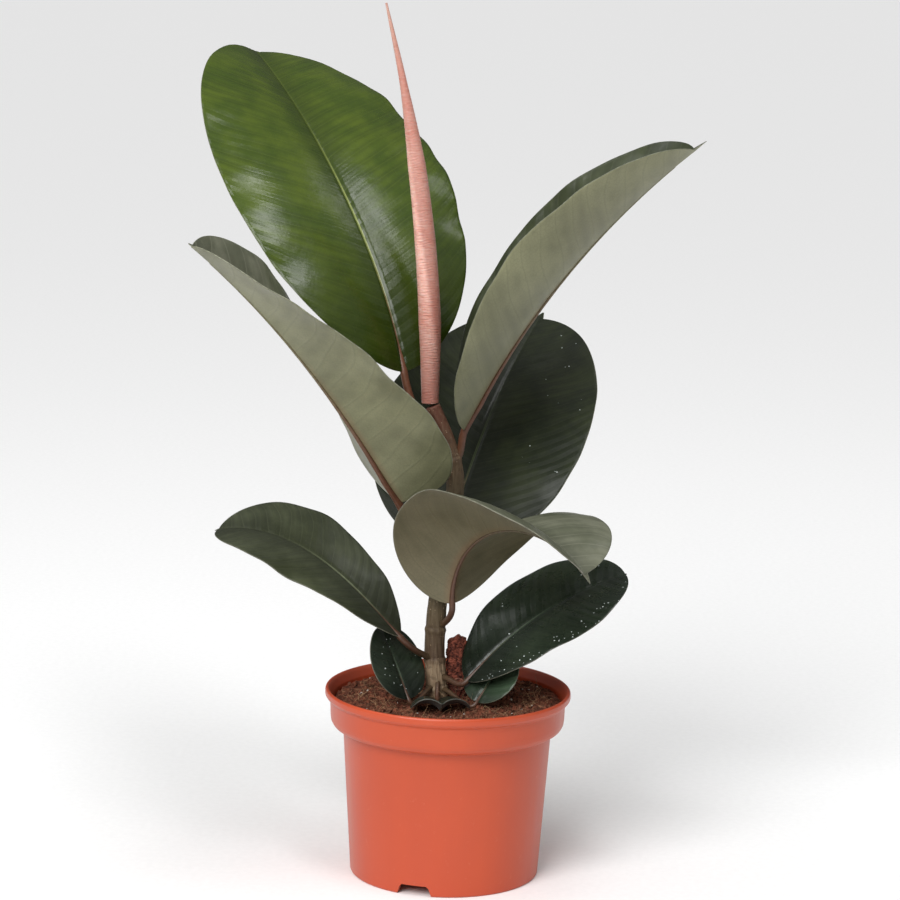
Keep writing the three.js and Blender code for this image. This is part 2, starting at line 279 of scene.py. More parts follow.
for i in range(DRAIN_COUNT):
    angle = 2 * math.pi * i / DRAIN_COUNT
    side = [(0, DRILL_LOW), (DRAIN_RADIUS, DRILL_LOW), (DRAIN_RADIUS, DRILL_HIGH), (0, DRILL_HIGH)]
    drill = turned("drain_cutter", side, 40)
    offset = (DRAIN_CIRCLE * math.cos(angle) * MM, DRAIN_CIRCLE * math.sin(angle) * MM, 0)
    drill.data.transform(Matrix.Translation(offset))
    cutters.append(drill)
for cutter in cutters:
    facing_out(cutter)
    cut_out(pot, cutter)
make_plain(pot)
for cutter in cutters:
    bpy.data.objects.remove(cutter)
pot.data.polygons.foreach_set("use_smooth", [True] * len(pot.data.polygons))
pot.data.set_sharp_from_angle(angle=math.radians(32))

plastic = Finish("terracotta_plastic")
space = plastic.object_space()
streak = plastic.noise(plastic.object_space((60, 60, 4)), 1.0, 3)
cloudy = plastic.noise(space, 22, 4)
tint = plastic.math("MULTIPLY_ADD", streak, 0.45, plastic.math("MULTIPLY", cloudy, 0.55))
body_colour = plastic.blend(plastic.spread(tint, 0.35, 0.7), POT_ORANGE_DEEP, POT_ORANGE)
dust = plastic.spread(plastic.noise(space, 260, 5, 0.7), 0.6, 0.78, 0, 0.22)
plastic.colour(plastic.blend(dust, body_colour, POT_DUST))
plastic.roughness(plastic.spread(streak, 0.3, 0.7, 0.3, 0.42))
grain = plastic.bump(plastic.noise(space, 1400, 3, 0.6), 0.12, 0.0002)
flow = plastic.bump(plastic.noise(plastic.object_space((40, 40, 6)), 1.0, 2), 0.12, 0.002, grain)
plastic.relief(flow)
plastic.set(Specular_IOR_Level=0.4, Coat_Weight=0.08, Coat_Roughness=0.25)
pot.data.materials.clear()
plastic.wear(pot)
carries(pot, ["pot"])

# ---------------------------------------------------------------------------------------------
# Root ball: coir and peat growing medium pressed into the pot, loose and crumbly on top, with
# coir fibres, bits of bark and white grains of perlite lying on it.
SOIL_TOP = [(55.5, 85.2), (54.2, 86), (48, 86.4), (39, 86.5), (29, 86.4), (17, 86), (0, 86.2)]
SOIL_RADIUS, SOIL_FLOOR = 55.4, FLOOR_UNDERSIDE + 1.6
SOIL_SIDE = [
    (SOIL_RADIUS, SHOULDER + 7.5), (BODY_TOP_RADIUS + 2.3, SHOULDER + 3.7),
    (BODY_TOP_RADIUS + 0.7, SHOULDER + 2.6), (BODY_TOP_RADIUS - 1.7, SHOULDER + 1.9),
    (BODY_TOP_RADIUS - 1.9, SHOULDER - 0.6), (BASE_RADIUS - 1.5, FLOOR_UNDERSIDE + 2.4),
    (BASE_RADIUS - 3.2, SOIL_FLOOR),
]
SOIL_RINGS, SOIL_FACETS = 72, 180
LUMP_HEIGHT = 0.9
SOIL_DARK = (0.085, 0.030, 0.018, 1)
SOIL_RED = (0.25, 0.085, 0.048, 1)
SOIL_TAN = (0.42, 0.22, 0.13, 1)
FIBRE_DARK, FIBRE_PALE = (0.16, 0.07, 0.03, 1), (0.5, 0.32, 0.17, 1)
PERLITE_GREY, PERLITE_WHITE = (0.55, 0.5, 0.43, 1), (0.88, 0.86, 0.8, 1)
CHIP_DARK, CHIP_RED = (0.055, 0.02, 0.012, 1), (0.3, 0.14, 0.075, 1)


def lumps(x, y, waves=42, seed=3):
    """A repeatable rough field over a plane, about -1 to 1, with wavelengths from 2 to 20 mm."""
    source = np.random.default_rng(seed)
    total = np.zeros_like(x)
    for _ in range(waves):
        length = 2.2 * 9 ** source.random()
        angle = source.random() * 2 * math.pi
        phase = source.random() * 2 * math.pi
        swing = (length / 20) ** 0.6
        total += swing * np.sin((x * math.cos(angle) + y * math.sin(angle)) * 2 * math.pi / length + phase)
    return total / 5.5


top_radii = [p[0] for p in SOIL_TOP][::-1]
top_heights = [p[1] for p in SOIL_TOP][::-1]
profile_radii = np.linspace(0, SOIL_RADIUS, SOIL_RINGS)
angles = np.linspace(0, 2 * math.pi, SOIL_FACETS, endpoint=False)
points = [(0, 0, SOIL_TOP[-1][1])]
for radius in profile_radii[1:]:
    x, y = radius * np.cos(angles), radius * np.sin(angles)
    height = np.interp(radius, top_radii, top_heights)
    z = height + LUMP_HEIGHT * lumps(x, y) * min(1, (SOIL_RADIUS + 1.1 - radius) / 3)
    points += list(zip(x, y, z))
for radius, z in SOIL_SIDE:
    points += [(radius * math.cos(a), radius * math.sin(a), z) for a in angles]
points.append((0, 0, SOIL_FLOOR))
ring_count = SOIL_RINGS - 1 + len(SOIL_SIDE)
faces = [(0, 1 + i, 1 + (i + 1) % SOIL_FACETS) for i in range(SOIL_FACETS)]
for ring in range(ring_count - 1):
    a, b = 1 + ring * SOIL_FACETS, 1 + (ring + 1) * SOIL_FACETS
    for i in range(SOIL_FACETS):
        j = (i + 1) % SOIL_FACETS
        faces.append((a + i, b + i, b + j, a + j))
last = 1 + (ring_count - 1) * SOIL_FACETS
faces += [(last + i, len(points) - 1, last + (i + 1) % SOIL_FACETS) for i in range(SOIL_FACETS)]
soil = mesh_piece("growing_medium", points, faces)

peat = Finish("coir_and_peat")
space = peat.object_space()
fine = peat.noise(space, 900, 6, 0.7)
coarse = peat.noise(space, 240, 4, 0.6)
earth = peat.blend(peat.spread(coarse, 0.38, 0.66), SOIL_DARK, SOIL_RED)
peat.colour(peat.blend(peat.spread(fine, 0.58, 0.72, 0, 0.7), earth, SOIL_TAN))
peat.relief(peat.bump(fine, 0.9, 0.0009))
peat.set(Roughness=0.93, Specular_IOR_Level=0.2)
peat.wear(soil)

GRAIN_INPUTS = (("Geometry", "Geometry"), ("Shape", "Object"), ("Per square metre", "Float"),
                ("Smallest", "Float"), ("Largest", "Float"), ("Seed", "Int"), ("Finish", "Material"))


class GrainTree:
    """A node tree that sets copies of a shape on a surface. add() makes a node and fills its inputs."""

    def __init__(self, name, more_inputs=()):
        self.group = bpy.data.node_groups.new(name, "GeometryNodeTree")
        sockets = self.group.interface
        sockets.new_socket("Geometry", in_out="OUTPUT", socket_type="NodeSocketGeometry")
        for label, kind in GRAIN_INPUTS + more_inputs:
            sockets.new_socket(label, in_out="INPUT", socket_type="NodeSocket" + kind)
        self.given = self.add("NodeGroupInput", {})

    def add(self, kind, inputs, **settings):
        made = self.group.nodes.new(kind)
        for key, value in settings.items():
            setattr(made, key, value)
        for key, source in inputs.items():
            if isinstance(source, (int, float, tuple)):
                made.inputs[key].default_value = source
            else:
                self.group.links.new(source, made.inputs[key])
        return made.outputs

    def spots(self, **chosen):
        """Points spread at random over the surface, or over the chosen part of it."""
        given = self.given
        inputs = {"Mesh": given["Geometry"], "Density": given["Per square metre"], "Seed": given["Seed"]}
        return self.add("GeometryNodeDistributePointsOnFaces", inputs | chosen)

    def set_copies(self, points, rotation):
        """Puts a copy of the shape on each point, makes it real and gives it its finish."""
        given = self.given
        shape = self.add("GeometryNodeObjectInfo", {"Object": given["Shape"]})["Geometry"]
        sizes = {2: given["Smallest"], 3: given["Largest"], "Seed": given["Seed"]}
        size = self.add("FunctionNodeRandomValue", sizes)[1]
        copying = {"Points": points, "Instance": shape, "Rotation": rotation, "Scale": size}
        copies = self.add("GeometryNodeInstanceOnPoints", copying)[0]
        real = self.add("GeometryNodeRealizeInstances", {0: copies})[0]
        dressed = self.add("GeometryNodeSetMaterial", {"Geometry": real, "Material": given["Finish"]})[0]
        self.add("NodeGroupOutput", {0: dressed})


LEVEL_ENOUGH = 0.45


def loose_tree():
    """Grains that lie at any tilt up to Lean on the level part of the ground, within Reach of the axis."""
    tree = GrainTree("scatter_on_top", (("Sink", "Float"), ("Lean", "Float"), ("Reach", "Float")))
    given = tree.given
    normal = tree.add("GeometryNodeInputNormal", {})[0]
    upward = tree.add("ShaderNodeSeparateXYZ", {0: normal})["Z"]
    level = tree.add("FunctionNodeCompare", {0: upward, 1: LEVEL_ENOUGH})[0]
    where = tree.add("GeometryNodeInputPosition", {})[0]
    flat = tree.add("ShaderNodeVectorMath", {0: where, 1: (1, 1, 0)}, operation="MULTIPLY")[0]
    from_axis = tree.add("ShaderNodeVectorMath", {0: flat}, operation="LENGTH")["Value"]
    inside = tree.add("FunctionNodeCompare", {0: from_axis, 1: given["Reach"]}, operation="LESS_THAN")[0]
    both = tree.add("FunctionNodeBooleanMath", {0: level, 1: inside})[0]
    points = tree.spots(Selection=both)["Points"]
    drop = tree.add("ShaderNodeCombineXYZ", {"Z": given["Sink"]})[0]
    sunk = tree.add("GeometryNodeSetPosition", {"Geometry": points, "Offset": drop})[0]
    other_way = tree.add("ShaderNodeMath", {0: given["Lean"], 1: -1}, operation="MULTIPLY")[0]
    low = tree.add("ShaderNodeCombineXYZ", {"X": other_way, "Y": other_way})[0]
    high = tree.add("ShaderNodeCombineXYZ", {"X": given["Lean"], "Y": given["Lean"], "Z": 2 * math.pi})[0]
    leaning = {0: low, 1: high, "Seed": given["Seed"]}
    tilt = tree.add("FunctionNodeRandomValue", leaning, data_type="FLOAT_VECTOR")[0]
    tree.set_copies(sunk, tilt)
    return tree


LOOSE = loose_tree()


def scattered(name, tree, ground, finish, **inputs):
    """A new piece made by a grain tree over a copy of the ground mesh."""
    piece = placed(name, ground.data.copy())
    maker = piece.modifiers.new("grains", "NODES")
    maker.node_group = tree.group
    named = {s.name: s.identifier for s in tree.group.interface.items_tree if s.in_out == "INPUT"}
    for key, value in {"Finish": finish.material, **inputs}.items():
        maker[named[key.replace("_", " ")]] = value
    make_plain(piece)
    return piece


def pebble(name, squash, rough, seed, level=1):
    """One rough grain about 2 units across, for scattering. It is only a pattern."""
    shape = bmesh.new()
    bmesh.ops.create_icosphere(shape, subdivisions=level, radius=1)
    chance = np.random.default_rng(seed)
    for vertex in shape.verts:
        vertex.co *= 1 + rough * (chance.random() - 0.5)
        vertex.co.x *= squash[0]
        vertex.co.y *= squash[1]
        vertex.co.z *= squash[2]
    mesh = bpy.data.meshes.new(name)
    shape.to_mesh(mesh)
    shape.free()
    return placed(name, mesh)


def ring_faces(first, rings, facets):
    """Quads between neighbouring rings of points, where the first ring begins at point first."""
    faces = []
    for low in range(first, first + (rings - 1) * facets, facets):
        for i in range(facets):
            j = (i + 1) % facets
            faces.append((low + i, low + j, low + facets + j, low + facets + i))
    return faces


def strand(name, length, radius, bow, seed, sides=4, steps=9):
    """One bent fibre one unit long, standing on its lower end."""
    chance = np.random.default_rng(seed)
    drift = chance.normal(size=(2, 2)) * bow
    points = []
    for k in range(steps):
        t = k / (steps - 1)
        centre = drift[0] * t * t + drift[1] * math.sin(2.6 * math.pi * t) * 0.18
        for i in range(sides):
            a = 2 * math.pi * i / sides
            r = radius * (1 - 0.6 * t)
            points.append((centre[0] + r * math.cos(a), centre[1] + r * math.sin(a), length * t))
    faces = ring_faces(0, steps, sides)
    faces += [tuple(range(sides))[::-1], tuple(range((steps - 1) * sides, steps * sides))]
    mesh = bpy.data.meshes.new(name)
    mesh.from_pydata(points, [], faces)
    return placed(name, mesh)


def mottled(name, noise, span, tones, relief=None, stretch=(1, 1, 1), **numbers):
    """A finish of two tones mixed by one noise, which can give the relief too."""
    finish = Finish(name)
    grain = finish.noise(finish.object_space(stretch), *noise)
    finish.colour(finish.blend(finish.spread(grain, *span), *tones))
    if relief:
        finish.relief(finish.bump(grain, *relief))
    finish.set(**numbers)
    return finish


fibre = mottled("coir_fibre", (160, 3), (0.35, 0.65), (FIBRE_DARK, FIBRE_PALE),
                Roughness=0.7, Specular_IOR_Level=0.35)
stone = mottled("perlite", (1800, 4, 0.65), (0.4, 0.65), (PERLITE_GREY, PERLITE_WHITE), (0.7, 0.0004),
                Roughness=0.85)
chip = mottled("bark_chip", (420, 5, 0.7), (0.38, 0.66), (CHIP_DARK, CHIP_RED), (0.7, 0.0006), (1, 1, 3),
               Roughness=0.88, Specular_IOR_Level=0.25)

patterns = [
    pebble("crumb_pattern", (1, 0.8, 0.6), 0.7, 1), pebble("lump_pattern", (1.2, 0.8, 0.55), 0.55, 2, 2),
    pebble("grain_pattern", (1, 0.9, 0.8), 0.4, 3, 2), pebble("chip_pattern", (2.2, 0.9, 0.35), 0.5, 4),
    strand("fibre_pattern", 1, 0.018, 0.35, 5), strand("hair_pattern", 1, 0.012, 0.5, 6),
]
crumb, lump, grain_shape, chip_shape, fibre_shape, hair_shape = patterns
loose = [
    scattered("soil_crumbs", LOOSE, soil, peat, Shape=crumb, Per_square_metre=560000.0,
              Smallest=0.0003, Largest=0.0012, Sink=0.0, Lean=3.1, Reach=0.055, Seed=11),
    scattered("soil_lumps", LOOSE, soil, peat, Shape=lump, Per_square_metre=42000.0,
              Smallest=0.0007, Largest=0.0021, Sink=-0.0002, Lean=3.1, Reach=0.053, Seed=12),
    scattered("bark_chips", LOOSE, soil, chip, Shape=chip_shape, Per_square_metre=42000.0,
              Smallest=0.0005, Largest=0.0014, Sink=0.0003, Lean=0.7, Reach=0.052, Seed=13),
    scattered("perlite_grains", LOOSE, soil, stone, Shape=grain_shape, Per_square_metre=5200.0,
              Smallest=0.0003, Largest=0.0008, Sink=0.0002, Lean=3.1, Reach=0.054, Seed=14),
    scattered("coir_fibres", LOOSE, soil, fibre, Shape=fibre_shape, Per_square_metre=52000.0,
              Smallest=0.003, Largest=0.007, Sink=-0.0003, Lean=1.75, Reach=0.047, Seed=15),
    scattered("coir_hairs", LOOSE, soil, fibre, Shape=hair_shape, Per_square_metre=36000.0,
              Smallest=0.004, Largest=0.009, Sink=-0.0003, Lean=1.45, Reach=0.046, Seed=16),
]
for pattern in patterns:
    bpy.data.objects.remove(pattern)
carries(soil, ["soil"])
for piece in loose:
    carries(piece, [])

# ---------------------------------------------------------------------------------------------
# Stem: one woody shoot. The oldest part is pale, dry and striped, the middle brown and smooth and
# the tip reddish, and a ring runs round it wherever a leaf and its sheath grew.
STEM_LINE = [(-5, 1, 40), (-5, 0, 85), (-7, 0, 110), (-6, 0, 135), (-2, 0, 165), (1, 0, 195),
             (-4, 0, 215), (-11, 0, 231)]
STEM_STEPS = 420
STEM_RADIUS_LOW, STEM_RADIUS_HIGH = 5.2, 3.9
STEM_RINGS = (92, 106, 121, 150, 176, 205)
OLD_WOOD_TOP = 108
BARK_FOOT, BARK_TIP = 0.08, 0.235
BARK_TONES = [
    (0.0, (0.22, 0.15, 0.09, 1)), (0.155, (0.24, 0.165, 0.10, 1)), (0.175, (0.082, 0.048, 0.027, 1)),
    (0.35, (0.072, 0.052, 0.024, 1)), (0.62, (0.11, 0.092, 0.052, 1)), (0.85, (0.10, 0.055, 0.028, 1)),
    (1.0, (0.11, 0.032, 0.02, 1)),
]
BARK_STRIPE, BARK_SPOT = (0.36, 0.28, 0.18, 1), (0.045, 0.025, 0.014, 1)
CORK_BROWN, CORK_TAN = (0.2, 0.13, 0.07, 1), (0.4, 0.3, 0.19, 1)


def smooth_line(points, steps):
    """Points spread evenly along a Catmull-Rom curve through the given points."""
    given = np.array(points, float)
    padded = np.vstack([2 * given[0] - given[1], given, 2 * given[-1] - given[-2]])
    fine = []
    for i in range(len(given) - 1):
        a, b, c, d = padded[i : i + 4]
        for t in np.linspace(0, 1, 24, endpoint=False):
            fine.append(0.5 * (2 * b + (c - a) * t + (2 * a - 5 * b + 4 * c - d) * t * t
                               + (3 * b - a - 3 * c + d) * t ** 3))
    fine.append(given[-1])
    fine = np.array(fine)
    run = np.r_[0, np.cumsum(np.linalg.norm(np.diff(fine, axis=0), axis=1))]
    even = np.linspace(0, run[-1], steps + 1)
    return np.stack([np.interp(even, run, fine[:, k]) for k in range(3)], 1)


def carried_frames(line):
    """A pair of side directions at each point of a line, carried along it without twisting."""
    along = np.gradient(line, axis=0)
    along /= np.linalg.norm(along, axis=1)[:, None]
    side = np.cross(along[0], (0.0, 1.0, 0.0))
    if np.linalg.norm(side) < 0.2:
        side = np.cross(along[0], (1.0, 0.0, 0.0))
    sides = []
    for direction in along:
        side = side - direction * (side @ direction)
        side /= np.linalg.norm(side)
        sides.append(side.copy())
    sides = np.array(sides)
    return along, sides, np.cross(along, sides)


def rod_points(line, facets, radius_at):
    """Rings of points round a line. radius_at(share, angles) gives the radii of one ring."""
    _, side, other = carried_frames(line)
    angles = np.linspace(0, 2 * math.pi, facets, endpoint=False)
    rings = []
    for k, centre in enumerate(line):
        radius = radius_at(k / (len(line) - 1), angles)[:, None]
        spokes = np.cos(angles)[:, None] * side[k] + np.sin(angles)[:, None] * other[k]
        rings.append(centre + radius * spokes)
    return np.array(rings)


def rod_piece(name, line, facets, radius_at):
    """A closed rod with domed ends."""
    rings = rod_points(line, facets, radius_at)
    points = list(rings.reshape(-1, 3))
    faces = ring_faces(0, len(line), facets)
    for ring, flip in ((0, True), (len(line) - 1, False)):
        away = line[ring] - line[1 if flip else ring - 1]
        middle = len(points)
        reach = np.linalg.norm(rings[ring][0] - line[ring]) * 0.25
        points.append(line[ring] + away / np.linalg.norm(away) * reach)
        for i in range(facets):
            a, b = ring * facets + i, ring * facets + (i + 1) % facets
            faces.append((b, a, middle) if flip else (a, b, middle))
    return mesh_piece(name, points, faces)


stem_line = smooth_line(STEM_LINE, STEM_STEPS)
stem_heights = stem_line[:, 2]


def stem_radius(share, angles):
    height = stem_heights[round(share * STEM_STEPS)]
    radius = np.full_like(angles, STEM_RADIUS_LOW + (STEM_RADIUS_HIGH - STEM_RADIUS_LOW) * share)
    for ring in STEM_RINGS:
        radius += 0.45 * math.exp(-(((height - ring) / 1.3) ** 2))
        radius -= 0.22 * math.exp(-(((height - ring - 1.7) / 0.45) ** 2))
    old = 1 / (1 + math.exp((height - OLD_WOOD_TOP) / 3))
    radius += (0.1 + 0.14 * old) * np.sin(11 * angles + 0.35 * height)
    radius += (0.05 + 0.13 * old) * np.sin(23 * angles + 1.7 * math.sin(0.21 * height))
    radius += 0.18 * np.sin(2 * angles + 0.07 * height)
    return radius


stem = rod_piece("stem_bark", stem_line, 72, stem_radius)
bark = Finish("stem_bark")
space = bark.object_space()
height = bark.axes(space)["Z"]
ramp = bark.add("ValToRGB")
bark.join(bark.spread(height, BARK_FOOT, BARK_TIP, ease="LINEAR"), ramp.inputs[0])
while len(ramp.color_ramp.elements) < len(BARK_TONES):
    ramp.color_ramp.elements.new(0.5)
for stop, (where, shade) in zip(ramp.color_ramp.elements, BARK_TONES):
    stop.position, stop.color = where, shade
striped = bark.noise(bark.object_space((900, 900, 60)), 1.0, 4, 0.6)
patchy = bark.noise(space, 330, 5, 0.65)
old_wood = bark.spread(height, 0.104, OLD_WOOD_TOP * MM, 1, 0.25)
stripes = bark.math("MULTIPLY", bark.spread(striped, 0.42, 0.7, 0, 0.6), old_wood)
lined = bark.blend(stripes, ramp.outputs[0], BARK_STRIPE)
bark.colour(bark.blend(bark.spread(patchy, 0.34, 0.5, 0.5, 0), lined, BARK_SPOT))
bark.relief(bark.bump(striped, 0.55, 0.0006, bark.bump(patchy, 0.4, 0.0005)))
bark.set(Roughness=0.66, Specular_IOR_Level=0.35)
bark.wear(stem)
carries(stem, ["stem"])

# Lenticels: the small raised corky pores of the bark, scattered over the shoot and pressed flat.
cork = mottled("cork", (1500, 3), (0.4, 0.6), (CORK_BROWN, CORK_TAN), (0.5, 0.0003), Roughness=0.8)


def flat_tree():
    """Grains set on a surface, each turned to the surface's own normal."""
    tree = GrainTree("pores_on_bark")
    spots = tree.spots()
    tree.set_copies(spots["Points"], spots["Rotation"])
    return tree


FLAT = flat_tree()
pore = pebble("pore_pattern", (1, 0.7, 0.4), 0.3, 21)
pores = scattered("stem_lenticels", FLAT, stem, cork, Shape=pore, Per_square_metre=60000.0,
                  Smallest=0.00012, Largest=0.00042, Seed=22)
bpy.data.objects.remove(pore)
carries(pores, [])

# ---------------------------------------------------------------------------------------------
# Stump: what is left of an old cut-back shoot, dark corky bark that crumbles, with a callus ring.
STUB_LINE = [(5, 5, 66), (5, 4.5, 90), (4, 5, 115)]
STUB_RADII = (3.4, 4.3, 5.1, 4.2)
CROWN_LINE, CROWN_RADIUS = [(4, 5, 111), (4.5, 4.5, 114), (5.5, 4.5, 116.5)], 3.6
SCAR_PLACE = (5, -0.4, 94)
SCAR_PROFILE = [(0, -1.5), (3.3, -1.5), (3.4, 0), (3.1, 0.55), (2.6, 0.6), (2.2, 0.15), (1.2, 0.3), (0, 0.35)]
STUMP_DARK, STUMP_RED = (0.04, 0.01, 0.007, 1), (0.27, 0.075, 0.045, 1)
CALLUS_DARK, CALLUS_RED = (0.09, 0.025, 0.015, 1), (0.30, 0.12, 0.075, 1)
stub_line = smooth_line(STUB_LINE, 120)


def stub_radius(share, angles):
    radius = np.interp(share * 3, range(4), STUB_RADII) + 0.3 * np.sin(3 * angles + 9 * share)
    radius = radius + 0.45 * np.sin(7 * angles + 23 * share) * math.sin(31 * share)
    return radius + 0.25 * np.sin(13 * angles - 41 * share)


stub = rod_piece("stump_bark", stub_line, 56, stub_radius)
corky = mottled("stump_bark", (480, 6, 0.72), (0.38, 0.62), (STUMP_DARK, STUMP_RED), (1.0, 0.0014),
                Roughness=0.85, Specular_IOR_Level=0.25)
corky.wear(stub)
flake = pebble("flake_pattern", (1, 0.8, 0.7), 0.7, 23)
flakes = scattered("stump_crumbs", FLAT, stub, corky, Shape=flake, Per_square_metre=1100000.0,
                   Smallest=0.0003, Largest=0.0012, Seed=24)
crown = rod_piece("stump_crown_shape", smooth_line(CROWN_LINE, 40), 16,
                  lambda share, angles: np.full_like(angles, CROWN_RADIUS - 2 * share))
crumbs_above = scattered("stump_crown", FLAT, crown, corky, Shape=flake, Per_square_metre=950000.0,
                         Smallest=0.0005, Largest=0.0017, Seed=25)
for shape in (flake, crown):
    bpy.data.objects.remove(shape)
scar = turned("stump_scar", rounded(SCAR_PROFILE, 0.3), 40)
upright = Matrix.Rotation(math.radians(90), 4, "X")
scar.data.transform(Matrix.Translation([MM * p for p in SCAR_PLACE]) @ upright)
callus = mottled("callus", (700, 5, 0.7), (0.36, 0.66), (CALLUS_DARK, CALLUS_RED), (0.7, 0.0007),
                 Roughness=0.75)
callus.wear(scar)
carries(stub, ["cutting_stub"])
for piece in (flakes, crumbs_above, scar):
    carries(piece, [])

# ---------------------------------------------------------------------------------------------
# Sheath: the pink stipule rolled tightly round the next leaf. It is skin-thin, finely wrinkled
# across, overlaps itself in one long seam and draws out into a dry point.
SHEATH_FOOT = (-12, 0, 233)
SHEATH_HEIGHT, SHEATH_LEAN = 190, 25
SHEATH_RADII = (4, 5.3, 5, 4.2, 1.8, 0.5)
SHEATH_STEPS, SHEATH_FACETS = 760, 64
PINK_DEEP, PINK_PALE, CREPE_PALE = (0.80, 0.40, 0.32, 1), (0.92, 0.54, 0.45, 1), (0.97, 0.76, 0.68, 1)
# Of the reds on the next line, the middle one is painted shade for the side of the sheath away from the
# light.
CREPE_RED, PAINTED_SHADE_RED, FOOT_RED = (0.42, 0.12, 0.09, 1), (0.32, 0.10, 0.07, 1), (0.25, 0.07, 0.045, 1)
TIP_BROWN = (0.45, 0.28, 0.22, 1)
sheath_shares = np.linspace(0, 1, len(SHEATH_RADII))
sheath_heights = SHEATH_FOOT[2] + SHEATH_HEIGHT * sheath_shares
sheath_line = smooth_line([(SHEATH_FOOT[0] - SHEATH_LEAN * share ** 2, SHEATH_FOOT[1], height)
                           for share, height in zip(sheath_shares, sheath_heights)], SHEATH_STEPS)


def sheath_radius(share, angles):
    height = sheath_line[round(share * SHEATH_STEPS), 2]
    full = np.interp(height, sheath_heights, SHEATH_RADII)
    wave = 2.2 * np.sin(3 * angles + 1.1 * math.sin(0.5 * height)) + 1.1 * np.sin(5 * angles)
    wrinkle = 0.055 * np.sin(height * 4.9 + wave) + 0.035 * np.sin(height * 7.7 + 1.7 * wave)
    turn = (angles + 0.9 + 0.004 * (height - 232)) % (2 * math.pi)
    seam = 0.32 * np.exp(-turn / 0.5) - 0.12 * np.exp(-(((turn - 6.15) / 0.12) ** 2))
    return full * (1 + 0.05 * np.sin(2 * angles)) + (wrinkle + seam) * min(1, full / 3)


sheath = rod_piece("sheath_skin", sheath_line, SHEATH_FACETS, sheath_radius)
pink = Finish("pink_sheath")
space = pink.object_space()
place = pink.axes(space)
crepe = pink.noise(pink.object_space((260, 260, 1100)), 1.0, 4, 0.6)
blush = pink.noise(space, 60, 3)
skin = pink.blend(pink.spread(blush, 0.35, 0.65), PINK_DEEP, PINK_PALE)
skin = pink.blend(pink.spread(crepe, 0.5, 0.72, 0, 0.55), skin, CREPE_PALE)
skin = pink.blend(pink.spread(crepe, 0.30, 0.46, 0.5, 0), skin, CREPE_RED)
# Painted shade: the side of the sheath turned away from the light is darkened to a deep red.
shaded_side = pink.math("MULTIPLY_ADD", place["Z"], 0.17, place["X"])
skin = pink.blend(pink.spread(shaded_side, 0.0335, 0.0365, 0, 0.6), skin, PAINTED_SHADE_RED)
skin = pink.blend(pink.spread(place["Z"], 0.236, 0.31, 0.72, 0), skin, FOOT_RED)
skin = pink.blend(pink.spread(place["Z"], 0.385, 0.423, 0, 0.7), skin, TIP_BROWN)
pink.colour(skin)
pink.relief(pink.bump(crepe, 0.6, 0.0004))
pink.set(Roughness=0.42, Specular_IOR_Level=0.4, Subsurface_Weight=0.12, Subsurface_Scale=0.004)
pink.wear(sheath)
carries(sheath, ["apical_sheath"])

